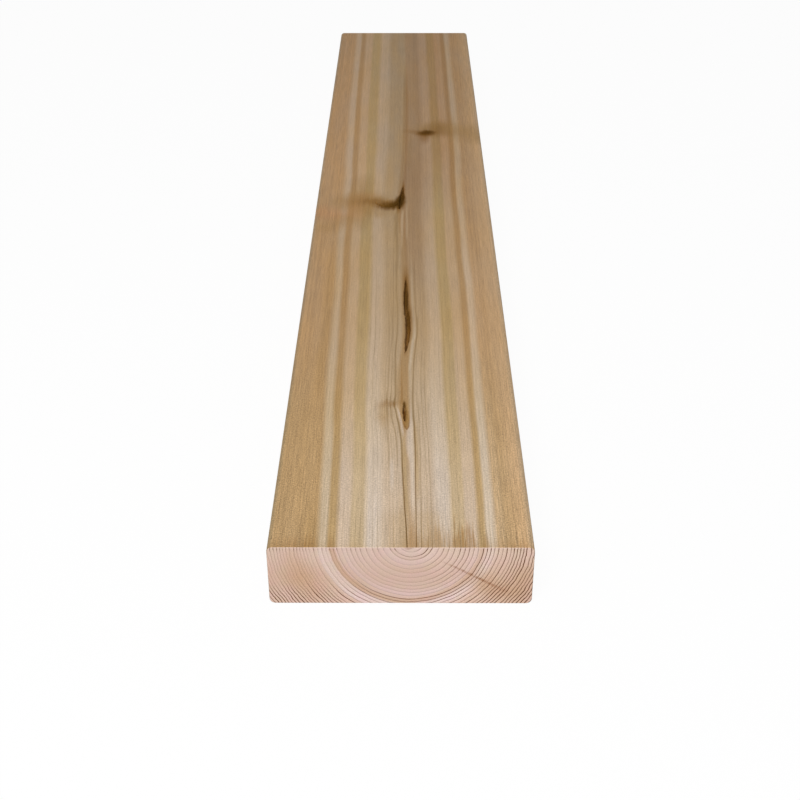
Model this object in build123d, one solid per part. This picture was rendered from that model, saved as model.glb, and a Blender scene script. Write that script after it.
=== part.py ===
"""A dressed softwood plank: one planed stick with eased long edges, square-sawn ends and the
open hollows that its pith leaves on the top face. Millimetres, X across, Y along the grain, Z up.
The origin is the middle of the bottom face."""

import os

from build123d import *

# Plank
LENGTH = 914.0  # three feet, sawn to length
WIDTH = 140.0  # nominal six inches after planing
THICKNESS = 38.0  # nominal two inches after planing
EDGE_RADIUS = 3.2  # eased long edges

# Split heart of the small knot, the hollow nearest to the near end
SLIT_FROM_END = 119.0  # near tip
SLIT_ACROSS = 2.4  # near tip, right of the centre line
SLIT_LENGTH = 20.0
SLIT_LEAN = -1.0  # far tip, right of the near tip
SLIT_BOW = -0.2  # middle, right of the straight line between the tips
SLIT_WIDTH = 2.4
SLIT_DEPTH = 2.4

# Open pocket along the pith: the belly, nearer to the near end
BELLY_FROM_END = 199.0
BELLY_ACROSS = 2.0
BELLY_LENGTH = 72.0
BELLY_LEAN = 0.8
BELLY_BOW = 1.7
BELLY_WIDTH = 4.0
BELLY_DEPTH = 3.2

# The throat, which runs into the belly and on along the pith
THROAT_FROM_END = 240.0
THROAT_ACROSS = 2.9
THROAT_LENGTH = 72.0
THROAT_LEAN = -0.4
THROAT_BOW = -0.3
THROAT_WIDTH = 3.4
THROAT_DEPTH = 2.8

# Split beside the spike knot, along the grain
HOOK_FROM_END = 429.0
HOOK_ACROSS = -3.2
HOOK_LENGTH = 50.0
HOOK_LEAN = 3.2
HOOK_BOW = 0.6
HOOK_WIDTH = 4.0
HOOK_DEPTH = 2.8

# Split along the spike knot itself, across the grain, from the hook to the left
SPIKE_FROM_END = 446.0
SPIKE_ACROSS = -23.0
SPIKE_REACH = 22.0  # from its left tip to its right tip
SPIKE_RISE = 1.5  # right tip, further along the plank than the left tip
SPIKE_SAG = 9.5  # middle, nearer to the near end than the straight line between the tips
SPIKE_WIDTH = 3.6
SPIKE_DEPTH = 2.0

# How a hollow narrows from its mouth to its floor
FLOOR_WIDTH_SHARE = 0.35
FLOOR_LENGTH_SHARE = 0.8


def dressed_stick():
    """The section with its four eased edges, drawn out to the sawn length."""
    section = Plane.XZ * RectangleRounded(WIDTH, THICKNESS, EDGE_RADIUS)
    stick = extrude(section, amount=LENGTH / 2, both=True)
    return Pos(Z=THICKNESS / 2) * stick


def crescent(tip, run, bow, width):
    """A face with two pointed tips on the local XY plane, bowed to the right of its run."""
    far_tip = tip + run
    sideways = run.rotate(Axis.Z, -90).normalized()
    middle = (tip + far_tip) / 2 + sideways * bow
    right_side = ThreePointArc(tip, middle + sideways * width / 2, far_tip)
    left_side = ThreePointArc(far_tip, middle - sideways * width / 2, tip)
    return make_face([right_side, left_side])


def hollow(tip, run, bow, width, depth):
    """What an open hollow takes out of the top face: a crescent mouth over a narrower floor."""
    mouth = crescent(tip, run, bow, width)
    floor_run = run * FLOOR_LENGTH_SHARE
    floor_tip = tip + (run - floor_run) / 2
    end_offset = bow * (1 - FLOOR_LENGTH_SHARE**2)
    sideways = run.rotate(Axis.Z, -90).normalized()
    floor = crescent(
        floor_tip + sideways * end_offset, floor_run, bow - end_offset, width * FLOOR_WIDTH_SHARE
    )
    cut = loft([mouth, Pos(Z=-depth) * floor], ruled=True)
    return Pos(Y=-LENGTH / 2, Z=THICKNESS) * cut


def pith_hollows():
    """The hollows on the top face, each placed from the near end and the centre line."""
    slit = hollow(
        Vector(SLIT_ACROSS, SLIT_FROM_END),
        Vector(SLIT_LEAN, SLIT_LENGTH),
        SLIT_BOW,
        SLIT_WIDTH,
        SLIT_DEPTH,
    )
    belly = hollow(
        Vector(BELLY_ACROSS, BELLY_FROM_END),
        Vector(BELLY_LEAN, BELLY_LENGTH),
        BELLY_BOW,
        BELLY_WIDTH,
        BELLY_DEPTH,
    )
    throat = hollow(
        Vector(THROAT_ACROSS, THROAT_FROM_END),
        Vector(THROAT_LEAN, THROAT_LENGTH),
        THROAT_BOW,
        THROAT_WIDTH,
        THROAT_DEPTH,
    )
    hook = hollow(
        Vector(HOOK_ACROSS, HOOK_FROM_END),
        Vector(HOOK_LEAN, HOOK_LENGTH),
        HOOK_BOW,
        HOOK_WIDTH,
        HOOK_DEPTH,
    )
    spike = hollow(
        Vector(SPIKE_ACROSS, SPIKE_FROM_END),
        Vector(SPIKE_REACH, SPIKE_RISE),
        SPIKE_SAG,
        SPIKE_WIDTH,
        SPIKE_DEPTH,
    )
    return [slit, belly, throat, hook, spike]


plank = dressed_stick() - pith_hollows()

os.makedirs("parts", exist_ok=True)
export_step(plank, "parts/plank.step")
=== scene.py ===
"""A dressed softwood plank, laid out as an add-on and run as a script.

The plank is one mesh: a planed stick with eased long edges, sawn ends and the open hollows of its
pith. Its wood is a solid pattern of growth rings round a pith that wanders along the plank, with
knots, stains and fibre, so that the faces, the edges and the ends all show the same tree.
Meshes are in metres. Patterns are in millimetres: across from the centre line, along from the near
end, and up from the bottom face."""

import math
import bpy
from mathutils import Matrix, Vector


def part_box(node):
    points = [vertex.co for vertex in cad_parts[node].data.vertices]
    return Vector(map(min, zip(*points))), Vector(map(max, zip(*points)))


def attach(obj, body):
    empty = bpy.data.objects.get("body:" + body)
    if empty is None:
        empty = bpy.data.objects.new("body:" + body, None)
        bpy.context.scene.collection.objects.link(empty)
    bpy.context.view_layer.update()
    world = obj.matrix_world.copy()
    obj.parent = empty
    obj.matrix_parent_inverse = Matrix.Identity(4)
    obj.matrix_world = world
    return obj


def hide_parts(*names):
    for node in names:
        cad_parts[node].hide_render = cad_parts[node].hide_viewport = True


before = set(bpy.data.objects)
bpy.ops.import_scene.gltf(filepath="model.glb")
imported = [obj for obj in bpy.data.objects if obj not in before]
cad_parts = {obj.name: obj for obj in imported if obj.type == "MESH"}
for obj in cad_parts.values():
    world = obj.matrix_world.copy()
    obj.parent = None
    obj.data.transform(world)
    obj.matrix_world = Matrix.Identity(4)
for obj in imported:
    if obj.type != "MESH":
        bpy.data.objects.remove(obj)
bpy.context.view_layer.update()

from types import SimpleNamespace

import bmesh
import bpy
from bpy.props import FloatProperty, FloatVectorProperty, IntProperty, PointerProperty
from mathutils import Matrix, Vector, noise
from mathutils.bvhtree import BVHTree

bl_info = {
    "name": "Dressed Plank",
    "version": (1, 0, 0),
    "blender": (4, 5, 0),
    "location": "View3D > Sidebar > Plank",
    "description": "Makes a dressed softwood plank with its grain, knots and sawn ends, and a plain studio",
    "category": "Object",
}

# The frame that the plank is made in
NODE = "plank"
BODY = "root"
PIECE = "dressed_plank"
LOW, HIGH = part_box(NODE)
SIZE = HIGH - LOW
MM = 0.001
LENGTH = SIZE.y / MM
THICKNESS = SIZE.z / MM

# Pith: how far right of the centre line and above the top face it runs, by distance along the plank
PITH_ACROSS = (
    (0, 5.6), (52, 5), (77, 4.3), (102, 3.5), (134, 1.7), (160, 1.6), (190, 2), (232, 3.7),
    (260, 3.1), (300, 2.4), (380, 0.6), (430, -1.2), (480, -0.2), (560, 1.6), (700, 2.2), (LENGTH, 0),
)
PITH_ABOVE = (
    (0, 3.6), (60, 2.7), (105, 1.8), (140, 0.9), (190, 0.4), (300, 0.3), (380, 0.9), (440, 0.3),
    (520, 1.2), (610, 0.2), (720, -1.2), (LENGTH, -4.5),
)
# Middle of the outer rings, which run straighter than the pith, and the scale that their radii are
# read at: they widen along the plank
OUTER_ACROSS = (
    (0, 5.1), (90, 4.4), (170, 3.2), (285, 3), (375, 1.7), (535, 2), (700, 1.2), (LENGTH, 0.6),
)
OUTER_ABOVE = ((0, 3.2), (300, 0.8), (600, 0.4), (LENGTH, -3))
RING_SCALE = (
    (0, 1), (300, 0.952), (390, 0.948), (420, 0.952), (470, 0.965), (530, 0.942), (600, 0.929),
    (LENGTH, 0.92),
)
# The inner rings swell round the knots on the pith, less so with distance from it
CORE_SWELL = (
    (0, 0), (60, 0.3), (105, 0.5), (134, 1.5), (160, 0.9), (190, 1.1), (232, 1.4), (300, 0.8),
    (380, 0.4), (440, 1.4), (500, 0.6), (600, 0.5), (LENGTH, 0),
)
SWELL_FADES = 14
# Radii between which the rings stop following the pith and follow their own middle
RINGS_STRAIGHTEN = (3, 34)
# How far the outer rings waver, how far all rings ripple, and between which radii they ripple more
WAVER = 2
RIPPLE = 0.7
RIPPLE_GROWS = (50, 66)
# Rings counted from the pith outwards, by radius
RING_COUNT = (
    (0, 0), (4.3, 1), (6.8, 2), (10, 3), (12, 4), (15.3, 5), (18, 6), (20.6, 7), (26.8, 9),
    (31.4, 11), (35.9, 13), (38.5, 14), (44.2, 17), (53, 21), (61.2, 26), (63.6, 27), (95, 46),
)
# How dark the end grain shows the line of each ring, by radius
RING_WEIGHT = (
    (0, 0.2), (4, 0.35), (6.5, 0.6), (8.5, 0.7), (9.7, 0.95), (11.6, 0.6), (15, 0.55), (17.7, 0.5),
    (20.3, 0.3), (23.3, 0.5), (29, 0.6), (33, 0.5), (36, 0.6), (38.1, 0.95), (40.3, 0.95), (43, 0.6),
    (50, 0.8), (60, 0.9), (95, 0.9),
)
# Width of the dark line that ends each ring
LINE_WIDTH = 0.75
# How much the bare wood shines; the dark hearts of the knots are dry and don't
SHEEN = 0.07
# Where the open hollows can be: across, from the two ends and down, and where their walls turn to bark
HOLLOWS_ACROSS = 60
HOLLOWS_FROM_ENDS = 50
HOLLOWS_DOWN = 7
HOLLOW_WALLS = (0.1, 2.2)
# How much further out the coloured bands lie on the left of the pith than on its right
BAND_LEAN = 0.04
# Bands of wood on the planed faces by ring radius: from and to where each has its full colour
BANDS = (
    ("pith", 0, 1.2), ("straw", 3, 12.5), ("cream", 16.5, 21.6), ("olive", 24.3, 29.6),
    ("blush", 31.6, 36), ("honey", 38.3, 40.8), ("pale", 42.6, 45.2), ("tan", 48.2, 95),
)
# Stretch along the plank over which the colours of the bands turn from the near ones to the darker, warmer
# ones further along
MELLOWING = (30, 270)
# Tints of the bands: the side of the pith, from where to where the tint comes in by ring radius and by
# distance along the plank, and the shares of red, green and blue that it leaves
TINTS = (
    ("right", (46, 52), (170, 60), (1.07, 1.10, 1.16)),
    ("right", (26, 10), (150, 420), (0.93, 0.88, 0.85)),
    ("right", (44, 36), (420, 500), (0.93, 0.89, 0.87)),
    ("right", (14, 8), (490, 560), (1.09, 1.11, 1.11)),
    ("left", (16, 24), (430, 520), (1.10, 1.09, 1.10)),
)
# Tints of single places: the pale band on the right, the olive one beyond the spike knot, the far wood,
# the wood round the small knot, painted shade that darkens the left long edge of the top near and far,
# painted shading that greys the right long edge, and dirt
PALE_TINT = (1.14, 1.20, 1.36)
OLIVE_TINT = (1, 0.93, 0.86)
FAR_TINT = (0.96, 0.95, 0.95)
SMALL_KNOT_TINT = (0.99, 0.98, 0.93)
LEFT_EDGE_SHADE_NEAR_TINT = (0.79, 0.86, 0.94)
LEFT_EDGE_SHADE_FAR_TINT = (0.86, 0.97, 1.12)
RIGHT_EDGE_SHADING_TINT = (1, 1.08, 1.18)
GRIME_TINT = (0.64, 0.51, 0.36)
# Tints of the end grain: towards the bottom, and on the right
END_LOW_TINT = (1.07, 1.10, 1.17)
END_RIGHT_TINT = (1.06, 1.06, 1.05)
# Grain of the planed faces: the size of its lumps across and along the fibres, detail and roughness
GRAIN = {
    "fibre": (0.4, 24, 3, 0.65), "streak": (1.1, 220, 3), "speck": (0.5, 1), "fleck": (1.4, 0.45),
}


def display(red, green, blue):
    """A colour as a screen shows it, 0 to 255, as the light that a shader works in."""
    shares = (red / 255, green / 255, blue / 255)
    return [s / 12.92 if s <= 0.04045 else ((s + 0.055) / 1.055) ** 2.4 for s in shares]


def colour(name, description, *shown):
    """A colour that a user can change, given as a screen shows it."""
    return FloatVectorProperty(
        name=name, description=description, subtype="COLOR", size=3, min=0, max=1, default=display(*shown)
    )


def length(name, description, millimetres):
    """A length that a user can change, given in millimetres."""
    return FloatProperty(
        name=name, description=description, unit="LENGTH", min=0, precision=4, default=millimetres * MM
    )


def angle(name, description, degrees):
    """An angle that a user can change, given in degrees."""
    return FloatProperty(name=name, description=description, subtype="ANGLE", default=math.radians(degrees))


class PlankShape(bpy.types.PropertyGroup):
    """Sizes of the plank's own mesh. Its overall size is the frame's."""

    edge_radius: length("Edge radius", "Rounding of the four long edges", 3.2)
    arris: length("End arris", "Width of the worn arris round each sawn end", 0.5)
    edge_segments: IntProperty(name="Edge segments", description="Flats in each eased edge", default=6)
    fine: length("Fine spacing", "Mesh spacing across the pith, where the hollows are", 0.5)
    coarse: length("Coarse spacing", "Mesh spacing across the plain parts of the faces", 4.0)
    ragged: length("Ragged rim", "How far the rim of a hollow wanders", 0.5)


class PlankColours(bpy.types.PropertyGroup):
    """Colours of the wood, as they look in plain light."""

    pith: colour("Pith", "The soft brown heart", 172, 137, 96)
    straw: colour("Straw", "Wood next to the pith", 202, 180, 156)
    cream: colour("Cream", "Palest inner wood", 210, 192, 173)
    olive: colour("Olive", "Greenish golden bands", 197, 173, 138)
    blush: colour("Blush", "Pale pinkish bands", 205, 182, 157)
    honey: colour("Honey", "Golden-brown bands", 181, 151, 107)
    pale: colour("Pale", "Pale bands in the outer wood", 199, 178, 150)
    tan: colour("Tan", "Outer wood", 182, 150, 108)
    mellow_pith: colour("Mellow pith", "Pith, further along", 170, 138, 97)
    mellow_straw: colour("Mellow straw", "Straw, further along", 182, 154, 118)
    mellow_cream: colour("Mellow cream", "Cream, further along", 196, 169, 137)
    mellow_olive: colour("Mellow olive", "Olive, further along", 183, 154, 108)
    mellow_blush: colour("Mellow blush", "Blush, further along", 195, 163, 125)
    mellow_honey: colour("Mellow honey", "Honey, further along", 178, 142, 98)
    mellow_pale: colour("Mellow pale", "Pale, further along", 197, 169, 136)
    mellow_tan: colour("Mellow tan", "Tan, further along", 186, 150, 109)
    sand: colour("Sand", "Paler outer wood, towards the right edge", 202, 167, 127)
    late: colour("Late wood", "The thin dark line that ends each year", 124, 97, 50)
    thread: colour("Thread", "Crisp dark lines beside the pith", 108, 76, 36)
    gold: colour("Gold", "Golden stain round the knots", 165, 129, 77)
    rust: colour("Rust", "Orange stain in the outer wood", 196, 144, 98)
    stain: colour("Stain", "Brown stain round the knots", 134, 92, 36)
    umber: colour("Umber", "Greyish brown wood beside the pith", 162, 130, 96)
    knot: colour("Knot", "Dark heart of a knot", 90, 62, 24)
    bark: colour("Bark", "Inside the open hollows", 112, 74, 30)
    end_blush: colour("End blush", "Pinkish end grain", 200, 173, 163)
    end_beige: colour("End beige", "Duller rings of the end grain", 194, 165, 145)
    end_honey: colour("End honey", "Golden end grain", 184, 149, 119)
    end_cream: colour("End cream", "Palest end grain", 207, 184, 173)
    end_tan: colour("End tan", "Outer end grain", 198, 168, 149)
    end_amber: colour("End amber", "Orange-brown end grain", 184, 146, 112)
    end_late: colour("End late wood", "Dark rings of the end grain", 98, 60, 36)
    end_rust: colour("End rust", "Reddish streaks of the end grain", 130, 84, 50)


class StageSettings(bpy.types.PropertyGroup):
    """The camera and the light. The camera stands in front of the near end and looks down on it."""

    camera_height: length("Camera height", "Above the floor", 460.29)
    camera_back: length("Camera distance", "In front of the near end", 527.44)
    camera_right: length("Camera offset", "Right of the centre line", 2.84)
    tilt: angle("Tilt", "Below the horizon", 32.175)
    heading: angle("Heading", "Turn to the left", 0.323)
    roll: angle("Roll", "Clockwise turn", 0.113)
    lens: FloatProperty(
        name="Lens", description="Focal length on a 36 mm sensor", unit="CAMERA", default=58.202
    )
    floor: colour("Floor", "Plain floor", 244, 244, 244)
    sky: FloatProperty(name="Sky", description="Strength of the even light", default=0.33)
    key: FloatProperty(name="Key lamp", description="Power of the front lamp in watts", default=20.0)
    key_size: length("Lamp size", "Side of the square lamp", 800)
    key_left: length("Lamp offset", "Left of the centre line", 250)
    key_back: length("Lamp distance", "In front of the near end", 850)
    key_height: length("Lamp height", "Above the floor", 1200)
    key_aim: length("Lamp aim", "Behind the near end, on the top face", 100)


def worked_out(operation, swapped=False):
    """A method of a field that adds one maths node, with the field as its last value if swapped."""
    def method(self, *others):
        values = (*others, self) if swapped else (self, *others)
        return self.pattern.maths(operation, *values)
    return method


class Field:
    """One value of a node tree. Sums and products of fields add the nodes that work them out."""

    def __init__(self, pattern, socket):
        self.pattern = pattern
        self.socket = socket

    __add__ = worked_out("ADD")
    __radd__ = worked_out("ADD", swapped=True)
    __sub__ = worked_out("SUBTRACT")
    __rsub__ = worked_out("SUBTRACT", swapped=True)
    __mul__ = worked_out("MULTIPLY")
    __rmul__ = worked_out("MULTIPLY", swapped=True)
    __truediv__ = worked_out("DIVIDE")
    root = worked_out("SQRT")
    floor = worked_out("FLOOR")
    fraction = worked_out("FRACT")
    size = worked_out("ABSOLUTE")

    def step(self, low, high):
        """Rises smoothly from 0 at low to 1 at high, or falls if high is the smaller."""
        if high < low:
            return 1.0 - self.step(high, low)
        return self.pattern.add(
            "ShaderNodeMapRange", {"Value": self, 1: low, 2: high}, interpolation_type="SMOOTHSTEP"
        )

    def hump(self, middle, reach):
        """1 at the middle, falling smoothly to 0 at the reach on both sides."""
        return (self - middle).size().step(reach, 0.0)


class Pattern:
    """Writes one node tree as formulas: each method adds a node and gives back its output."""

    def __init__(self, tree):
        self.tree = tree

    def add(self, kind, values, output=0, **options):
        node = self.tree.nodes.new(kind)
        for option, choice in options.items():
            setattr(node, option, choice)
        for place, value in values.items():
            self.feed(node.inputs[place], value)
        return Field(self, node.outputs[output])

    def feed(self, socket, value):
        if isinstance(value, Field):
            self.tree.links.new(value.socket, socket)
        elif socket.type == "RGBA":
            socket.default_value = (*value, 1.0)
        else:
            socket.default_value = value

    def maths(self, operation, *values):
        return self.add("ShaderNodeMath", dict(enumerate(values)), operation=operation)

    def vector(self, operation, *values, output=0):
        return self.add("ShaderNodeVectorMath", dict(enumerate(values)), output, operation=operation)

    def parts(self, vector):
        """The three parts of a vector."""
        split = self.tree.nodes.new("ShaderNodeSeparateXYZ")
        self.feed(split.inputs[0], vector)
        return [Field(self, output) for output in split.outputs]

    def joined(self, x, y, z):
        return self.add("ShaderNodeCombineXYZ", {0: x, 1: y, 2: z})

    def curve(self, value, points, straight=False):
        """A value looked up on a curve through the given points."""
        places = [point[0] for point in points]
        heights = [point[1] for point in points]
        start, run = places[0], places[-1] - places[0]
        low, rise = min(heights), max(heights) - min(heights)
        if rise == 0:
            return low
        node = self.tree.nodes.new("ShaderNodeFloatCurve")
        node.mapping.extend = "HORIZONTAL"
        line = node.mapping.curves[0]
        shares = [((place - start) / run, (height - low) / rise) for place, height in points]
        line.points[0].location = shares[0]
        line.points[-1].location = shares[-1]
        for share in shares[1:-1]:
            line.points.new(*share)
        for point in line.points:
            point.handle_type = "VECTOR" if straight else "AUTO_CLAMPED"
        node.mapping.update()
        self.feed(node.inputs["Value"], (value - start) / run)
        return Field(self, node.outputs[0]) * rise + low

    def noise(self, place, across, along, detail=2.0, rough=0.5, output=0):
        """Soft noise with lumps of the given size in millimetres. Output 1 is three noises in one."""
        stretched = self.vector("MULTIPLY", place, (1 / across, 1 / along, 1 / across))
        values = {"Vector": stretched, "Scale": 1.0, "Detail": detail, "Roughness": rough}
        return self.add("ShaderNodeTexNoise", values, output)

    def ramp(self, value, stops):
        """A colour looked up on a ramp of (value, colour) stops."""
        start, run = stops[0][0], stops[-1][0] - stops[0][0]
        node = self.tree.nodes.new("ShaderNodeValToRGB")
        elements = node.color_ramp.elements
        while len(elements) < len(stops):
            elements.new(1.0)
        for element, (place, shade) in zip(elements, stops):
            element.position = (place - start) / run
            element.color = (*shade, 1.0)
        self.feed(node.inputs[0], (value - start) / run)
        return Field(self, node.outputs[0])

    def mix(self, amount, under, over, blend="MIX"):
        values = {0: amount, 6: under, 7: over}
        return self.add("ShaderNodeMix", values, 2, data_type="RGBA", blend_type=blend)

    def product(self, tone, red, green, blue):
        """A colour with its three parts multiplied."""
        return self.mix(1.0, tone, self.joined(red, green, blue), "MULTIPLY")


# Stripes along the grain of the top face, laid over the bands in this order: the colour, how soft the
# edge is, and points along the stripe as (along, across, half-width, strength)
STRIPES = (
    # greyish brown wood beside the pith, beyond the pocket
    ("umber", 1, (
        (280, 8, 7, 0), (340, 8, 9, 0.4), (400, 8, 11, 0.55), (490, 9, 13, 0.5), (570, 9, 13, 0.2),
        (740, 8, 10, 0),
    )),
    # wood that has yellowed behind the sawn end
    ("honey", 1, ((-5, -2.5, 9, 0.36), (20, -2.5, 9, 0.36), (34, -2, 8, 0.15), (52, -2, 7, 0))),
    ("honey", 1, ((-5, 2, 3, 0.4), (22, 2, 3, 0.4), (38, 2, 3, 0.2), (56, 2, 3, 0))),
    ("honey", 1, (
        (-5, 16, 9, 0.2), (10, 16, 9, 0.36), (24, 14, 9, 0.36), (34, 14, 8, 0.12), (48, 14, 7, 0),
    )),
    ("late", 1, ((-5, -47, 6, 0.2), (16, -47, 6, 0.24), (28, -47, 5, 0.12), (48, -47, 5, 0))),
    # between the two pith lines near the end: brown, then golden on the left and pale on the right
    ("pith", 0.8, ((-5, 5.8, 2.4, 0.7), (24, 5.5, 2.3, 0.5), (44, 5.2, 2.2, 0))),
    ("honey", 0.9, (
        (24, 3.6, 1, 0), (46, 2.7, 1.8, 0.8), (80, 1.8, 1.9, 0.8), (104, 0.9, 1.2, 0.5),
        (116, -0.2, 1, 0),
    )),
    ("honey", 1, (
        (36, 9.4, 0.8, 0), (56, 9.2, 1.5, 0.5), (80, 9, 1.6, 0.6), (102, 8.8, 1.5, 0.5),
        (126, 8, 1, 0),
    )),
    ("cream", 0.8, (
        (18, 6.3, 1, 0), (45, 6.6, 1.1, 0.5), (75, 6.1, 1.5, 0.7), (100, 4.8, 2.4, 0.8),
        (112, 4.9, 2.4, 0.7), (124, 6, 0.9, 0.4), (142, 6.2, 0.8, 0),
    )),
    ("cream", 0.8, (
        (102, 1.2, 0.5, 0), (114, 0.4, 0.9, 0.6), (126, -1.1, 0.8, 0.6), (136, -2.6, 0.6, 0),
    )),
    ("cream", 0.8, ((46, -4.8, 0.9, 0), (66, -5, 1.3, 0.8), (84, -5.6, 0.9, 0))),
    # soft heart where the pith lies at the surface, with its pale right side
    ("mellow_pith", 1, (
        (134, 2, 1.8, 0), (142, 2.1, 2.1, 0.75), (200, 2.2, 2.2, 0.75), (330, 2.4, 2.4, 0.3),
        (420, -2, 2.4, 0),
    )),
    ("mellow_pith", 1, (
        (138, -2, 1.5, 0), (148, -2.1, 1.8, 0.6), (174, -2.2, 1.8, 0.5), (192, -2.2, 1.5, 0),
    )),
    ("stain", 0.9, (
        (138, 0.3, 0.5, 0), (146, 0.2, 0.6, 0.4), (168, 0.1, 0.5, 0.25), (196, 0.2, 0.5, 0),
    )),
    ("pale", 0.8, (
        (155, 5.2, 0.7, 0), (176, 5, 0.9, 0.5), (192, 5.7, 1.1, 0.8), (216, 7.1, 1.2, 0.7),
        (235, 8.5, 1, 0.45), (250, 7.9, 0.8, 0.25), (282, 6.9, 0.9, 0.35), (320, 6.6, 0.8, 0.2),
        (350, 6, 0.8, 0),
    )),
    ("mellow_pale", 0.9, (
        (350, -0.6, 0.8, 0), (380, -0.6, 1, 0.6), (412, -0.5, 1.2, 0.8), (432, 0.6, 1, 0),
    )),
    ("mellow_pale", 0.9, (
        (370, 3.2, 0.7, 0), (395, 3.2, 0.9, 0.5), (430, 3.2, 0.9, 0.4), (455, 3, 0.8, 0),
    )),
    # pith lines on the left and on the right, with thinner ones further out
    ("late", 0.9, (
        (-5, 3.5, 0.4, 0.75), (20, 2.7, 0.4, 0.7), (40, 1.8, 0.45, 0.65), (60, 1.2, 0.5, 0.7),
        (90, 0.2, 0.6, 0.7), (112, -1.2, 0.65, 0.75), (125, -2.8, 0.6, 0.7), (133, -3.7, 0.6, 0.65),
        (140, -4.5, 0.8, 0.75), (150, -3.8, 0.7, 0.55), (200, -4, 0.6, 0.5), (245, -2.9, 0.6, 0.4),
        (300, -4.2, 0.8, 0.35), (340, -4, 1.4, 0.35), (410, -5.3, 1.8, 0.4), (428, -4.4, 1.2, 0.3),
        (440, -4, 1, 0),
    )),
    ("late", 0.9, (
        (-5, 8.2, 0.4, 0.5), (30, 8.2, 0.4, 0.45), (60, 8.2, 0.45, 0.5), (90, 8.1, 0.55, 0.6),
        (112, 7.8, 0.75, 0.7), (148, 6.9, 0.7, 0.6), (175, 7.3, 0.6, 0.55), (200, 8.3, 0.6, 0.5),
        (216, 9.2, 0.6, 0.5), (239, 10.2, 0.7, 0.5), (260, 9.4, 0.6, 0.35), (300, 8.7, 0.7, 0.3),
        (350, 8.4, 0.8, 0),
    )),
    ("thread", 0.9, (
        (-5, 3.5, 0.34, 0.7), (20, 2.7, 0.35, 0.65), (50, 1.5, 0.38, 0.5), (84, 0.4, 0.5, 0),
    )),
    ("thread", 0.9, (
        (-5, 8.2, 0.34, 0.7), (30, 8.2, 0.34, 0.6), (90, 8.1, 0.36, 0.4), (130, 7.3, 0.5, 0),
    )),
    ("late", 0.9, (
        (-5, 11, 0.45, 0.4), (60, 11, 0.45, 0.3), (110, 10.7, 0.45, 0.35), (150, 9.6, 0.5, 0),
    )),
    ("late", 0.9, (
        (70, -2, 0.4, 0), (92, -2.6, 0.45, 0.4), (112, -4.3, 0.45, 0.4), (132, -6.6, 0.5, 0.45),
        (142, -6.9, 0.6, 0.5), (155, -6.3, 0.5, 0.3), (245, -6, 0.5, 0.2), (330, -6.6, 0.6, 0.2),
        (390, -7, 0.6, 0),
    )),
    ("late", 0.9, (
        (60, -6.2, 0.4, 0), (92, -7.1, 0.4, 0.3), (126, -8.8, 0.45, 0.4), (142, -9.2, 0.6, 0.5),
        (160, -8.6, 0.45, 0.25), (245, -8.1, 0.45, 0.15), (350, -9, 0.5, 0),
    )),
    # brown wood round the pith pocket
    ("stain", 0.9, (
        (194, 2.2, 1, 0), (204, 2.4, 1.4, 0.5), (212, 2.7, 1.8, 0.7), (230, 4.1, 2.5, 0.75),
        (250, 4.3, 2.8, 0.8), (275, 2.8, 2.8, 0.8), (300, 2.6, 2.5, 0.8), (316, 2.4, 2.2, 0.5),
        (332, 2.4, 1.6, 0),
    )),
    ("knot", 0.8, (
        (222, 3.2, 0.8, 0), (234, 3.9, 1.4, 0.25), (248, 4.2, 1.9, 0.55), (262, 3.5, 1.9, 0.5),
        (272, 2.8, 1.9, 0.75), (282, 2.6, 1.8, 0.75), (294, 2.6, 1.6, 0.3), (306, 2.7, 1, 0),
    )),
    # the split along the pith at the spike knot
    ("stain", 0.9, (
        (420, -3.8, 1, 0), (432, -3.2, 2.1, 0.8), (440, -2.2, 3.4, 1), (450, -1.4, 3.6, 1),
        (458, -0.8, 2.8, 1), (470, 0, 1.8, 0.9), (482, 0.3, 1.2, 0.5), (494, 0.3, 0.9, 0),
    )),
    ("knot", 0.9, (
        (430, -3.6, 0.8, 0), (437, -3, 2.4, 0.9), (446, -2.2, 3.4, 1), (453, -1.4, 2.9, 1),
        (461, -0.6, 1.9, 0.85), (472, 0.1, 1, 0.4), (482, 0.3, 0.8, 0),
    )),
    # golden wood in the left outer wood, and round the spike knot
    ("gold", 1, ((140, -51, 4, 0), (215, -51, 5, 0.4), (300, -51, 5, 0.35), (390, -51, 4, 0))),
    ("gold", 1, ((385, -31, 6, 0), (425, -32, 9, 0.45), (465, -32, 9, 0.45), (510, -31, 6, 0))),
    # reddish streak on the way to the far knot
    ("late", 1, (
        (505, 4.6, 1.6, 0), (545, 5.4, 2.2, 0.2), (590, 6.2, 2.2, 0.15), (612, 6.6, 2, 0),
    )),
)
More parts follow.
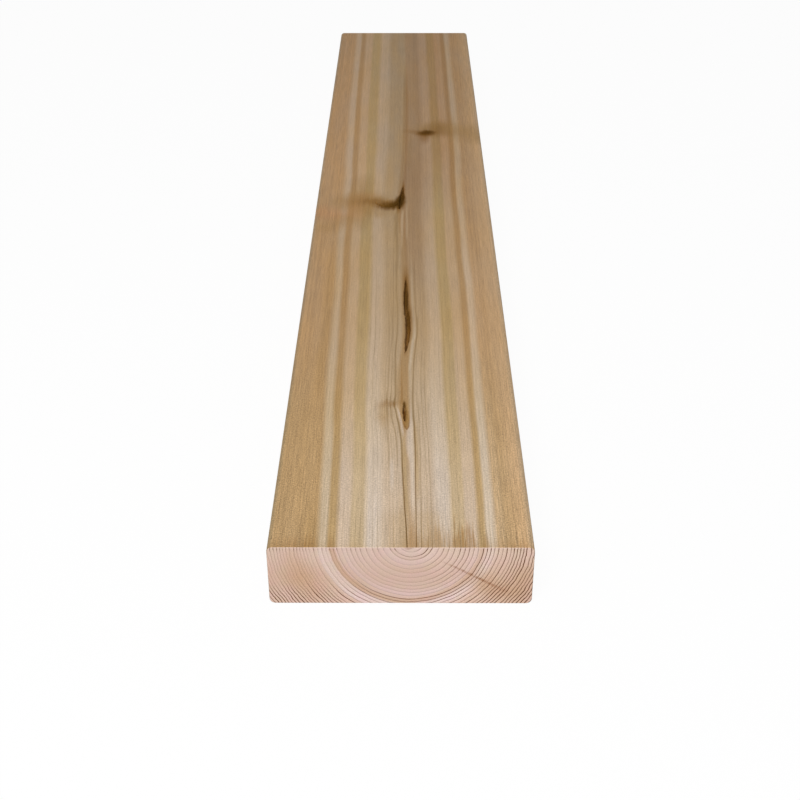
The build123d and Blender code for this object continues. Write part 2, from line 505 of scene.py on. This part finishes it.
# Marks that the knots leave in the faces, laid over the stripes in this order: the colour, how soft the
# edge is, how much it is frayed, and points as (across, along, below the top face, half-width, strength)
MARKS = (
    # small open knot: brown smear on its left, dark outline, golden body, dark heart
    ("stain", 0.9, 0.8, (
        (-1, 141, 0, 3.4, 0.2), (-4.6, 140, 0, 4, 0.5), (-9.5, 139, 0, 5, 0.42), (-17, 138, 0, 5, 0),
    )),
    ("gold", 1, 0.8, ((-10.5, 134, 0, 5, 0.25), (-11, 124, 0, 5, 0.4), (-9, 110, 0, 3, 0))),
    ("stain", 0.3, 0.1, (
        (3.3, 110.8, 0, 0.4, 0.8), (3.2, 114, 0, 1.7, 0.8), (3, 119, 0, 2.2, 0.7), (2.5, 130, 0, 2.3, 0.3),
    )),
    ("gold", 0.4, 0.1, (
        (3.3, 112.6, 0, 0.3, 0.6), (3.3, 115.2, 0, 1, 0.6), (3.1, 119.5, 0, 1.5, 0.7),
        (2.3, 132, 0, 1.9, 0.7), (2.1, 146, 0, 1.9, 0),
    )),
    ("stain", 0.9, 0.1, (
        (2.8, 117, 0, 0.5, 0), (2.5, 122, 0, 1.1, 0.5), (1.9, 131, 0, 1.6, 0.8), (1.6, 141, 0, 1, 0.3),
    )),
    ("knot", 0.9, 0.1, (
        (2.2, 127, 0, 0.6, 0), (2, 132, 0, 0.8, 0.35), (1.8, 136, 0, 1, 0.95),
        (1.6, 139.5, 0, 1, 0.95), (1.5, 143, 0, 0.5, 0.2),
    )),
    # spike knot to the left, with a golden glow round it
    ("gold", 0.8, 1, (
        (-10, 446, 0, 8, 0.4), (-17, 445, 0, 10, 0.8), (-24, 446, 0, 15, 0.9), (-33, 444, 1, 22, 0.85),
        (-42, 438, 4, 16, 0),
    )),
    ("rust", 1, 1, ((-66, 426, 0, 14, 0.5), (-54, 418, 0, 12, 0.5), (-46, 400, 0, 8, 0.1))),
    ("rust", 1, 1, ((-28, 458, 0, 9, 0.2), (-37, 450, 1, 13, 0.25), (-39, 420, 1, 11, 0.35))),
    ("gold", 1, 1, ((-10, 426, 0, 7, 0.3), (-19, 422, 0, 9, 0.45), (-29, 426, 0, 9, 0.3))),
    ("gold", 1, 1, ((-40, 424, 0, 9, 0), (-46, 412, 0, 11, 0.4), (-56, 396, 0, 11, 0.4))),
    ("stain", 1, 1, (
        (-24, 449, 0, 6, 0.3), (-31, 447, 0, 10, 0.42), (-36, 446, 1, 9, 0.3), (-44, 443, 3, 6, 0),
    )),
    ("stain", 0.8, 0.7, (
        (-4, 442, 0, 5, 1), (-9, 439, 0, 9.5, 1), (-14, 439, 0, 10.5, 0.9), (-20, 444, 0, 9, 0.6),
        (-26, 447, 0, 6, 0.3), (-32, 448, 1, 5, 0),
    )),
    ("knot", 0.9, 0.6, (
        (-0.5, 460, 0, 2, 0.7), (-2, 453, 0, 4, 1), (-3.2, 445, 0, 6, 1), (-7, 438, 0, 7.5, 0.9),
        (-12, 437, 0, 7.5, 0.8), (-15, 439, 0, 6, 0.3), (-19, 442, 0, 3, 0),
    )),
    # far knot to the right
    ("gold", 1, 1, (
        (14, 608, 0, 10, 0.2), (24, 610, 0, 14, 0.7), (31, 616, 0, 17, 0.8), (40, 612, 1, 18, 0.4),
        (56, 596, 4, 16, 0),
    )),
    ("gold", 1, 1, ((48, 606, 0, 12, 0), (58, 604, 0, 22, 0.5), (70, 596, 0, 22, 0.55))),
    ("stain", 1, 0.7, (
        (3, 606, 0, 5, 0.2), (10, 604, 0, 6, 0.45), (16, 601, 0, 7, 0.7), (22, 602, 0, 7, 0.7),
    )),
    ("stain", 1, 0.7, (
        (25, 600, 0, 9, 0.5), (30, 604, 0, 14, 0.6), (33, 622, 0, 11, 0.35), (34, 640, 0, 8, 0),
    )),
    ("stain", 1, 0.4, ((19.5, 597, 0, 7, 0.9), (19, 585, 0, 5, 0.6), (18.5, 570, 0, 3, 0))),
    ("bark", 0.9, 0.5, ((18, 600, 0, 5, 0.8), (20.5, 601, 0, 7, 1), (23.5, 603, 0, 5.5, 0.8))),
    ("knot", 1, 0.4, ((19, 601, 0, 4.5, 0.6), (22.5, 603, 0, 5.5, 0.75))),
)
# How far dirt and weather have crept in from the sawn near end, by place across the plank, and the
# distance over which they fade
GRIME_REACH = (
    (-70, 8), (-62, 9), (-52, 12), (-46, 13), (-43, 9), (-41, 5), (-39, 6), (-37, 11), (-34, 7), (-31, 3),
    (-25, 6), (-20, 4), (-16, 3), (-10, 3), (-3, 5), (1, 9), (3.5, 20), (8.5, 19), (11, 15), (15, 20),
    (20, 24), (25, 16), (28, 22), (31, 26), (34, 23), (37, 22), (39, 14), (42, 6), (45, 13), (47, 9),
    (52, 8), (60, 8), (70, 8),
)
GRIME_DEEP = 19
# Marks on the near end: the warmer outer wood on both sides, then the pith, and a knot's streak
END_TINGES = (
    ("end_amber", 1, 0, (
        (-57, 0, 6, 6, 0.3), (-53, 0, 20, 9, 0.6), (-47, 0, 30, 8, 0.4), (-38, 0, 36, 4, 0),
    )),
    ("end_amber", 1, 0, (
        (30, 0, 17, 3, 0), (42, 0, 22, 7, 0.45), (50, 0, 29, 7, 0.6), (62, 0, 30, 9, 0.6),
        (66, 0, 16, 6, 0.3),
    )),
    ("end_rust", 0.9, 0, ((1.5, 0, -0.6, 1, 0.4), (4, 0, 0.4, 1.2, 0.6), (7.5, 0, -0.6, 1, 0.2))),
)
END_STREAK = (
    (20, 0, 8.5, 0.5, 0), (29, 0, 13.2, 0.7, 0.6), (44, 0, 22.2, 0.9, 1), (59, 0, 31.5, 1.3, 0),
)


def striped(p, wood, tone, colours):
    """Lays stripes along the grain over the colour of the top face, one after another."""
    along = wood.along
    across = wood.across + (p.noise(wood.place, 9, 40) - 0.5) * 0.9
    facing = wood.up.step(THICKNESS - 14, THICKNESS - 8)
    for shade, softness, points in STRIPES:
        middle, half, strength = [
            p.curve(along, [(point[0], point[part]) for point in points]) for part in (1, 2, 3)
        ]
        gap = (across - middle).size() / half
        amount = gap.step(1 + softness / 2, 1 - softness) * strength * facing
        tone = p.mix(amount, tone, getattr(colours, shade))
    return tone


def marked(p, place, tone, colours, marks):
    """Lays marks over a colour, one after another."""
    shift = fraying(p, place)
    for shade, softness, fray, points in marks:
        frayed = p.vector("MULTIPLY_ADD", shift, (fray, fray, fray), place) if fray else place
        amount = mark_amount(p, frayed, softness, points)
        tone = p.mix(amount, tone, getattr(colours, shade))
    return tone


def fraying(p, place):
    """Small shifts, mostly along the fibres, so that marks end in teeth and don't look drawn."""
    lumps = p.vector("SUBTRACT", p.noise(place, 7, 11, output=1), (0.5, 0.5, 0.5))
    teeth = (p.noise(place, 0.8, 60) - 0.5) * 12.0
    return p.vector("MULTIPLY_ADD", lumps, (4.0, 6.0, 4.0), p.joined(0.0, teeth, 0.0))


def mark_amount(p, place, softness, points):
    """How strongly the mark along some points colours each place, from 0 to 1."""
    amount = 0.0
    for first, second in zip(points, points[1:]):
        start, stop = Vector(first[:3]), Vector(second[:3])
        start.z, stop.z = THICKNESS - start.z, THICKNESS - stop.z
        run = stop - start
        offset = p.vector("SUBTRACT", place, start)
        share = p.vector("DOT_PRODUCT", offset, run, output=1) / run.length_squared
        share = p.add("ShaderNodeClamp", {"Value": share})
        foot = p.add("ShaderNodeVectorMath", {0: run, "Scale": share}, operation="SCALE")
        gap = p.vector("DISTANCE", offset, foot, output=1)
        nearness = gap / blended(share, first[3], second[3])
        strength = nearness.step(1 + softness / 2, 1 - softness) * blended(share, first[4], second[4])
        amount = p.maths("MAXIMUM", amount, strength)
    return amount


def blended(share, first, second):
    """From the first of two numbers to the second."""
    return share * (second - first) + first


def growth_rings():
    """The group that both finishes share: rings, bands and hollows by place in the plank."""
    tree = bpy.data.node_groups.new("growth_rings", "ShaderNodeTree")
    p = Pattern(tree)
    metres = p.add("ShaderNodeTexCoord", {}, "Object")
    origin = (0.0, LENGTH / 2, 0.0)
    place = p.vector("ADD", p.vector("MULTIPLY", metres, (1 / MM, 1 / MM, 1 / MM)), origin)
    across, along, up = p.parts(place)

    waver = p.parts(p.noise(place, 30, 260, output=1))
    inner_across = across - p.curve(along, PITH_ACROSS)
    inner_up = up - THICKNESS - p.curve(along, PITH_ABOVE)
    outer_across = across - p.curve(along, OUTER_ACROSS)
    outer_up = up - THICKNESS - p.curve(along, OUTER_ABOVE)
    inner = (inner_across * inner_across + inner_up * inner_up).root()
    outside = inner.step(*RINGS_STRAIGHTEN)
    off_across = inner_across + (outer_across - inner_across + (waver[0] - 0.5) * WAVER) * outside
    off_up = inner_up + (outer_up - inner_up + (waver[2] - 0.5) * WAVER) * outside
    radius = (off_across * off_across + off_up * off_up).root()
    scale = 1 - (1 - p.curve(along, RING_SCALE)) * outside
    swell = p.curve(along, CORE_SWELL) * p.maths("EXPONENT", inner / -SWELL_FADES)
    ripple = (p.noise(place, 7, 70) - 0.5) * (RIPPLE + radius.step(*RIPPLE_GROWS))
    radius = radius * scale - swell + ripple

    count = p.curve(radius, RING_COUNT, straight=True)
    phase = count.fraction()
    ring = p.add("ShaderNodeTexWhiteNoise", {"W": count.floor()}, noise_dimensions="1D")
    left = (1 - phase) * p.curve(radius, ring_widths(), straight=True)
    line = left.step(LINE_WIDTH, LINE_WIDTH * 0.3) * left.step(0.0, LINE_WIDTH * 0.12)
    depth = THICKNESS - up
    inside = across.size().step(HOLLOWS_ACROSS + 1, HOLLOWS_ACROSS)
    for from_end in (along, LENGTH - along):
        inside = inside * from_end.step(HOLLOWS_FROM_ENDS, HOLLOWS_FROM_ENDS + 1)
    hollow = depth.step(*HOLLOW_WALLS) * depth.step(HOLLOWS_DOWN + 1, HOLLOWS_DOWN) * inside
    outputs = {
        "Place": place, "Across": across, "Along": along, "Up": up, "Radius": radius,
        "Band": radius + off_across * BAND_LEAN, "Side": off_across / radius, "Line": line, "Ring": ring,
        "Phase": phase, "Hollow": hollow,
    }
    end = tree.nodes.new("NodeGroupOutput")
    for name, field in outputs.items():
        kind = "NodeSocketVector" if name == "Place" else "NodeSocketFloat"
        tree.interface.new_socket(name, in_out="OUTPUT", socket_type=kind)
        tree.links.new(field.socket, end.inputs[name])
    return tree


def ring_widths():
    """Width of the rings by radius, from how they are counted."""
    widths = []
    for (inner, fewer), (outer, more) in zip(RING_COUNT, RING_COUNT[1:]):
        width = (outer - inner) / (more - fewer)
        widths += [(inner + 0.01, width), (outer, width)]
    return widths


def wood_material(name, rings):
    """A new material with the growth rings in it: the pattern, the rings' values and the shader."""
    material = bpy.data.materials.new(name)
    material.use_nodes = True
    tree = material.node_tree
    p = Pattern(tree)
    group = tree.nodes.new("ShaderNodeGroup")
    group.node_tree = rings
    wood = SimpleNamespace(**{output.name.lower(): Field(p, output) for output in group.outputs})
    shader = tree.nodes["Principled BSDF"]
    shader.inputs["Specular IOR Level"].default_value = SHEEN
    return material, p, wood, shader


def planed_face(colours, rings):
    """Planed long faces: bands of wood, fine year lines, fibre, knots and the pith."""
    material, p, wood, shader = wood_material("planed_face", rings)
    place = wood.place
    wood.band = wood.band + (p.noise(place, 5, 120) - 0.5) * 1.6
    wood.outer = wood.band.step(45, 50)
    wood.right = wood.side.step(-0.2, 0.5)
    wood.near = wood.along.step(70, 0)
    grain = SimpleNamespace(**{name: p.noise(place, *lumps) - 0.5 for name, lumps in GRAIN.items()})
    tone = banded(p, wood, colours)
    tone = year_lined(p, wood, tone, colours)
    tone = soiled(p, wood, tone, grain)
    tone = p.mix(wood.hollow, tone, colours.bark)
    tone = striped(p, wood, tone, colours)
    tone = marked(p, place, tone, colours, MARKS)
    tone = grained(p, wood, tone, grain)
    p.feed(shader.inputs["Specular IOR Level"], p.parts(tone)[1].step(0.04, 0.2) * SHEEN)
    height = grain.fibre * 0.6 + grain.speck * 0.25 - wood.line * 0.4
    finish_shader(p, shader, tone, 0.62 + grain.fibre * 0.2, height, 0.35)
    return material


def banded(p, wood, colours):
    """The bands of the planed faces with their tints, paler or warmer patches, and painted shade on the
    long edges.
    """
    place, across, along = wood.place, wood.across, wood.along
    band, right = wood.band, wood.right
    fresh, mellow = [p.ramp(band, band_stops(colours, prefix)) for prefix in ("", "mellow_")]
    tone = p.mix(along.step(*MELLOWING), fresh, mellow)
    sides = {"right": right, "left": 1 - right}
    for side, radii, reach, tint in TINTS:
        tone = tinted(p, tone, sides[side] * band.step(*radii) * along.step(*reach), tint)
    pale = right * band.step(38.0, 42.5) * band.step(54, 48)
    fading = 0.4 * along.step(430, 300) + 0.6 * along.step(200, 60)
    tone = tinted(p, tone, pale * fading, PALE_TINT)
    tone = tinted(p, tone, right * band.hump(28, 14) * along.step(490, 560), OLIVE_TINT)
    tone = tinted(p, tone, along.step(180, 640), FAR_TINT)
    tone = tinted(p, tone, along.hump(130, 100), SMALL_KNOT_TINT)
    tone = p.mix(across.step(54, 66) * 0.8, tone, colours.sand)
    warm = (p.noise(place, 13, 90) - 0.5) * (0.5 + 0.5 * along.step(80, 400))
    blotch = 1 + (p.noise(place, 11, 34) - 0.5) * 0.12
    tone = p.product(tone, blotch + warm * 0.14, blotch, blotch - warm * 0.34)
    # Painted shade: the rounded left edge of the top is made darker and greyer, as if turned away from the
    # light
    worn = across.step(-66.6, -69.0) * wood.up.step(THICKNESS - 6, THICKNESS - 2)
    tone = tinted(p, tone, worn, p.mix(along.step(240, 440), LEFT_EDGE_SHADE_NEAR_TINT, LEFT_EDGE_SHADE_FAR_TINT))
    # Painted shading: the rounded right edge and the right side are made greyer
    return tinted(p, tone, across.step(65.5, 69.0), RIGHT_EDGE_SHADING_TINT)


def year_lined(p, wood, tone, colours):
    """Draws the line that ends each year: faint on the top, clearer on the other long faces."""
    along, radius, ring = wood.along, wood.radius, wood.ring
    patchy = p.noise(wood.place, 12, 200).step(0.25, 0.75)
    inner = radius.step(36, 14) * 0.7 + 0.3
    strength = (0.10 + 0.40 * ring) * patchy * along.step(460, 150) * inner
    brink = along.step(28, 0) * 0.22 * wood.right
    strength = strength * wood.band.step(48, 40) + wood.near * 0.13 + brink
    turned = p.maths("MAXIMUM", wood.across.size().step(67.5, 69.5), wood.up.step(2.5, 0.5))
    strength = strength + turned * (0.12 + 0.35 * ring)
    return p.mix(wood.line * strength * radius.step(4.5, 5.5), tone, colours.late)


def soiled(p, wood, tone, grain):
    """Darkens the wood where dirt has crept in from the sawn near end, in teeth along the fibres."""
    teeth = p.noise(wood.place, 0.6, 16, 3.0) * 2.3 - 0.15
    creep = (p.curve(wood.across, GRIME_REACH) * teeth - wood.along) / GRIME_DEEP
    dirt = p.add("ShaderNodeClamp", {"Value": creep * (1 + (grain.speck + grain.fibre) * 2.0)})
    return tinted(p, tone, dirt * (0.8 + grain.streak * 1.8 + grain.fibre * 0.8), GRIME_TINT)


def grained(p, wood, tone, grain):
    """Lays the fine grain over everything, coarser near the end and in the outer wood."""
    near, outer = wood.near, wood.outer
    grit = 0.85 + 0.45 * wood.along.step(240, 60)
    fine = grain.fibre * (0.7 + 0.35 * outer) + grain.speck * (0.7 + 0.5 * outer)
    fine = fine + grain.fleck * (0.6 + 0.1 * outer)
    lines = 0.26 + 0.2 * near + (0.15 + 0.3 * near * (1 - wood.right)) * outer
    light = 1 + fine * grit + grain.streak * lines
    return p.product(tone, light, light, light)


def finish_shader(p, shader, tone, rough, height, strength):
    """Gives a shader its colour and roughness, and the fine relief of the fibres."""
    relief = {"Strength": strength, "Distance": 0.2 * MM, "Height": height}
    p.feed(shader.inputs["Base Color"], tone)
    p.feed(shader.inputs["Roughness"], rough)
    p.feed(shader.inputs["Normal"], p.add("ShaderNodeBump", relief))


def band_stops(colours, prefix):
    """Ramp stops for the bands of wood, fresh or mellow."""
    return [
        (edge, getattr(colours, prefix + name)) for name, low, high in BANDS for edge in (low, high)
    ]


def tinted(p, tone, amount, tint):
    """A colour, multiplied by a tint where the amount is 1."""
    return p.mix(amount, tone, p.mix(1.0, tone, tint, "MULTIPLY"))


def sawn_end(colours, rings):
    """Sawn ends: pinkish end grain with its dark rings, which are stronger towards the outside, and a pale
    top arris that is partly a painted highlight.
    """
    material, p, wood, shader = wood_material("sawn_end", rings)
    place, up, side = wood.place, wood.up, wood.side
    wood.low = up.step(17, 3)
    wood.right, wood.left = side.step(0.1, 0.8), side.step(-0.4, -0.8)
    tone = end_banded(p, wood, colours)
    tone = end_ringed(p, wood, tone, colours)
    speck = p.noise(place, 0.7, 3.0, 3.0, 0.6) - 0.5
    light = 1 + speck * 0.4 - (wood.phase - 0.5) * 0.13
    tone = p.product(tone, light, light, light)
    # A pale line along the top arris of the end: partly the frayed fibres' own pale colour, partly a
    # painted highlight of the light that the arris catches
    rim = up.step(THICKNESS - 1.0, THICKNESS - 0.3) * p.noise(place, 1.5, 5).step(0.3, 0.6)
    tone = p.mix(rim * 0.7, tone, colours.end_cream)
    finish_shader(p, shader, tone, 0.8 + speck * 0.2, speck * 0.5 + wood.line * 0.6, 0.4)
    return material


def end_banded(p, wood, colours):
    """The bands of the end grain, with rings of a duller colour and warmer outer wood."""
    place, up, right = wood.place, wood.up, wood.right
    stops = (
        (0, colours.end_blush), (37, colours.end_blush), (41, colours.end_cream), (46, colours.end_cream),
        (49, colours.end_tan), (95, colours.end_tan),
    )
    band = wood.band + (p.noise(place, 6, 60) - 0.5) * 1.2
    tone = p.ramp(band, stops)
    duller = wood.ring * wood.radius.step(7, 12) * (0.85 - 0.7 * band.hump(43.5, 5))
    tone = p.mix(duller, tone, colours.end_beige)
    tone = p.mix(up.step(18, 36) * 0.45, tone, colours.end_cream)
    tone = tinted(p, tone, wood.low, END_LOW_TINT)
    tone = tinted(p, tone, wood.side.step(0.2, 0.8), END_RIGHT_TINT)
    honey = band.step(37.1, 38.2) * band.step(41.5, 40.3)
    tone = p.mix(honey * (0.6 - 0.3 * right), tone, colours.end_honey)
    hue = p.noise(place, 8, 8) - 0.5
    tone = p.product(tone, 1 + hue * 0.08, 1 - hue * 0.08, 1 + hue * 0.12)
    return marked(p, place, tone, colours, END_TINGES)


def end_ringed(p, wood, tone, colours):
    """Draws the dark rings of the end grain, and the streak of a knot across them."""
    place, up, radius = wood.place, wood.up, wood.radius
    low, right, left = wood.low, wood.right, wood.left
    tick = up.step(THICKNESS - 3.4, THICKNESS - 0.8)
    weight = p.curve(radius, RING_WEIGHT) * (0.45 + 0.75 * wood.ring)
    middle = radius.step(11, 15) * radius.step(37, 32)
    darker = right * (0.55 + 0.35 * radius.step(46, 58)) + low * radius.step(24, 40) * (0.4 + 0.5 * left)
    fainter = 0.2 * left * (1 - low) + 0.2 * middle * (1 - right) * up.hump(18, 12)
    strength = weight * (0.47 + darker + 0.6 * tick + 0.2 * middle * up.step(24, 34) - fainter)
    tone = p.mix(wood.line * strength, tone, colours.end_late)
    dashes = p.noise(place, 2.0, 2.0).step(0.3, 0.52) * (0.45 + 0.55 * wood.phase)
    streak = mark_amount(p, place, 0.9, END_STREAK) * dashes
    return p.mix(streak, tone, colours.end_rust)


# Stretches along the plank that get closer mesh rows, for the hollows: from, to and spacing
FINE_ROWS = ((112, 146, 1.0), (194, 316, 1.6), (416, 488, 0.8))
PLAIN_ROWS = 9.0
# The strip across the top that gets closer mesh columns
FINE_COLUMNS = (-27.0, 9.0)
# How far from the centre line the top is searched for hollows, and the lumps of their ragged rims
SEARCHED = 30 * MM
RIM_LUMPS = 3 * MM
# Above this, a part of a face's normal means that the face lies square to an axis
SQUARE = 0.9999


def stations(start, end, zones, plain):
    """Places from start to end, spaced as the zones say and plainly elsewhere, without the two ends."""
    places = [start]
    while places[-1] < end:
        here = places[-1]
        gap = next((spacing for low, high, spacing in zones if low <= here < high), plain)
        ahead = [low for low, high, spacing in zones if here < low < here + gap]
        places.append(min(ahead, default=here + gap))
    return places[1:-1]


def runs_along(edge, axis):
    """True where an edge runs along one axis."""
    run = edge.verts[1].co - edge.verts[0].co
    return abs(run[axis]) > 0.999 * run.length


def spread_cuts(bm, edges, axis, places):
    """Cuts parallel edges of one length as many times as there are places, and moves the cuts there."""
    spots = [vertex.co[axis] for edge in edges for vertex in edge.verts]
    low, high = min(spots), max(spots)
    made = bmesh.ops.subdivide_edges(bm, edges=edges, cuts=len(places))
    gap = (high - low) / (len(places) + 1)
    for vertex in made["geom_inner"]:
        if isinstance(vertex, bmesh.types.BMVert):
            vertex.co[axis] = places[round((vertex.co[axis] - low) / gap) - 1]


def bevel(bm, edges, width, segments):
    """Rounds some edges."""
    bmesh.ops.bevel(
        bm, geom=edges, offset=width, offset_type="OFFSET", affect="EDGES", segments=segments, profile=0.5,
        material=-1,
    )


def plank_stick(shape):
    """The planed stick: a box with eased long edges and worn ends, cut into rows and columns."""
    bm = bmesh.new()
    bmesh.ops.create_cube(bm, size=1.0)
    bmesh.ops.scale(bm, vec=SIZE, verts=bm.verts)
    bmesh.ops.translate(bm, vec=(LOW + HIGH) / 2, verts=bm.verts)
    long_edges = [edge for edge in bm.edges if runs_along(edge, 1)]
    bevel(bm, long_edges, shape.edge_radius, shape.edge_segments)
    bevel(bm, [edge for edge in bm.edges if not runs_along(edge, 1)], shape.arris, 2)
    inner = SIZE.y / 2 - shape.arris
    rows = [LOW.y + place * MM for place in stations(0.0, LENGTH, FINE_ROWS, PLAIN_ROWS)]
    long_edges = [edge for edge in bm.edges if runs_along(edge, 1) and edge.calc_length() > inner]
    spread_cuts(bm, long_edges, 1, rows)
    half = SIZE.x / 2 - shape.edge_radius
    strip = ((*FINE_COLUMNS, shape.fine / MM),)
    columns = stations(-half / MM, half / MM, strip, shape.coarse / MM)
    middle = (LOW.z + HIGH.z) / 2
    top_edges = [
        edge for edge in bm.edges
        if runs_along(edge, 0) and edge.verts[0].co.z > middle and edge.calc_length() > half
    ]
    spread_cuts(bm, top_edges, 0, [place * MM for place in columns])
    return bm


def sink_hollows(bm, shape):
    """Lowers the top face into the hollows of the frame's plank, with ragged rims."""
    solid = BVHTree.FromObject(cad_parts[NODE], bpy.context.evaluated_depsgraph_get())
    down = Vector((0, 0, -1))
    for vertex in bm.verts:
        if vertex.co.z < HIGH.z - 0.01 * MM or abs(vertex.co.x) > SEARCHED:
            continue
        shift = noise.noise_vector(vertex.co / RIM_LUMPS) * shape.ragged
        above = Vector((vertex.co.x + shift.x, vertex.co.y + shift.y, HIGH.z + 10 * MM))
        hit = solid.ray_cast(above, down)[0]
        if hit and hit.z < HIGH.z:
            vertex.co.z = hit.z


def finish_plank(bm, materials):
    """Makes the piece of the mesh, with the end finish on its two ends."""
    for face in bm.faces:
        face.smooth = max(map(abs, face.normal)) < SQUARE
        face.material_index = 1 if abs(face.normal.y) > 0.5 else 0
    mesh = bpy.data.meshes.new(PIECE)
    bm.to_mesh(mesh)
    bm.free()
    for material in materials:
        mesh.materials.append(material)
    piece = bpy.data.objects.new(PIECE, mesh)
    bpy.context.collection.objects.link(piece)
    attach(piece, BODY)
    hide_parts(NODE)


class PLANK_OT_dress(bpy.types.Operator):
    """Makes the dressed plank, which stands for the frame's plank"""

    bl_idname = "plank.dress"
    bl_label = "Make Plank"

    def execute(self, context):
        shape, colours = context.scene.plank_shape, context.scene.plank_colours
        rings = growth_rings()
        bm = plank_stick(shape)
        sink_hollows(bm, shape)
        finish_plank(bm, (planed_face(colours, rings), sawn_end(colours, rings)))
        return {"FINISHED"}


# Half the side of the floor, and the share of plain white in what the camera sees of it
FLOOR_HALF = 6.0
FLOOR_WHITE = 0.95


def make_floor(settings):
    """A wide plain floor, near white to the camera but for the plank's shadow."""
    bm = bmesh.new()
    bmesh.ops.create_grid(bm, x_segments=1, y_segments=1, size=FLOOR_HALF)
    mesh = bpy.data.meshes.new("floor")
    bm.to_mesh(mesh)
    bm.free()
    material = bpy.data.materials.new("studio_floor")
    material.use_nodes = True
    tree = material.node_tree
    p = Pattern(tree)
    shader = tree.nodes["Principled BSDF"]
    shader.inputs["Base Color"].default_value = (*settings.floor, 1.0)
    shader.inputs["Roughness"].default_value = 0.9
    shader.inputs["Specular IOR Level"].default_value = 0.0
    glow = p.add("ShaderNodeEmission", {"Color": (1.0, 1.0, 1.0)})
    mixed = p.add("ShaderNodeMixShader", {0: seen_directly(p) * FLOOR_WHITE})
    tree.links.new(shader.outputs[0], mixed.socket.node.inputs[1])
    tree.links.new(glow.socket, mixed.socket.node.inputs[2])
    tree.links.new(mixed.socket, tree.nodes["Material Output"].inputs[0])
    mesh.materials.append(material)
    floor = bpy.data.objects.new("floor", mesh)
    bpy.context.collection.objects.link(floor)


def seen_directly(p):
    """1 for what the camera sees, also in reflections and through glass."""
    path = p.tree.nodes.new("ShaderNodeLightPath")
    seen = 0.0
    for name in ("Is Camera Ray", "Is Glossy Ray", "Is Transmission Ray"):
        seen = p.maths("MAXIMUM", seen, Field(p, path.outputs[name]))
    return seen


def make_sky(settings):
    """Even light all round, and plain white where the camera sees past the floor."""
    world = bpy.data.worlds.new("studio")
    bpy.context.scene.world = world
    world.use_nodes = True
    p = Pattern(world.node_tree)
    background = world.node_tree.nodes["Background"]
    background.inputs["Color"].default_value = (1.0, 1.0, 1.0, 1.0)
    strength = seen_directly(p) * (1.0 - settings.sky) + settings.sky
    p.feed(background.inputs["Strength"], strength)


def make_lamp(settings):
    """One soft lamp over the camera, which lights the near end more than the far one."""
    light = bpy.data.lights.new("key", "AREA")
    light.shape = "SQUARE"
    light.size = settings.key_size
    light.energy = settings.key
    lamp = bpy.data.objects.new("key", light)
    target = Vector((0, LOW.y + settings.key_aim, HIGH.z))
    lamp.location = Vector((-settings.key_left, LOW.y - settings.key_back, settings.key_height))
    lamp.rotation_euler = (target - lamp.location).to_track_quat("-Z", "Y").to_euler()
    bpy.context.collection.objects.link(lamp)


def make_camera(settings):
    """The camera in front of the near end."""
    data = bpy.data.cameras.new("camera")
    data.lens = settings.lens
    camera = bpy.data.objects.new("camera", data)
    place = Vector((settings.camera_right, LOW.y - settings.camera_back, settings.camera_height))
    turn = Matrix.Rotation(settings.heading, 4, "Z") @ Matrix.Rotation(math.pi / 2 - settings.tilt, 4, "X")
    camera.matrix_world = Matrix.Translation(place) @ turn @ Matrix.Rotation(-settings.roll, 4, "Z")
    bpy.context.collection.objects.link(camera)
    bpy.context.scene.camera = camera


class PLANK_OT_stage(bpy.types.Operator):
    """Makes the floor, the light and the camera"""

    bl_idname = "plank.stage"
    bl_label = "Make Studio"

    def execute(self, context):
        settings = context.scene.plank_stage
        make_floor(settings)
        make_sky(settings)
        make_lamp(settings)
        make_camera(settings)
        context.scene.view_settings.view_transform = "Standard"
        return {"FINISHED"}


class PLANK_PT_panel(bpy.types.Panel):
    """Lists the plank's operators and settings"""

    bl_label = "Dressed Plank"
    bl_idname = "PLANK_PT_panel"
    bl_space_type = "VIEW_3D"
    bl_region_type = "UI"
    bl_category = "Plank"

    def draw(self, context):
        for name, group in GROUPS.items():
            if group in OPERATORS:
                self.layout.operator(OPERATORS[group].bl_idname)
            for setting in group.__annotations__:
                self.layout.prop(getattr(context.scene, name), setting)


GROUPS = {"plank_shape": PlankShape, "plank_colours": PlankColours, "plank_stage": StageSettings}
OPERATORS = {PlankShape: PLANK_OT_dress, StageSettings: PLANK_OT_stage}
CLASSES = (*GROUPS.values(), *OPERATORS.values(), PLANK_PT_panel)


def register():
    for cls in CLASSES:
        bpy.utils.register_class(cls)
    for name, group in GROUPS.items():
        setattr(bpy.types.Scene, name, PointerProperty(type=group))


def unregister():
    for name in GROUPS:
        delattr(bpy.types.Scene, name)
    for cls in reversed(CLASSES):
        bpy.utils.unregister_class(cls)


def main():
    register()
    bpy.ops.plank.dress()
    bpy.ops.plank.stage()


if __name__ == "__main__":
    main()
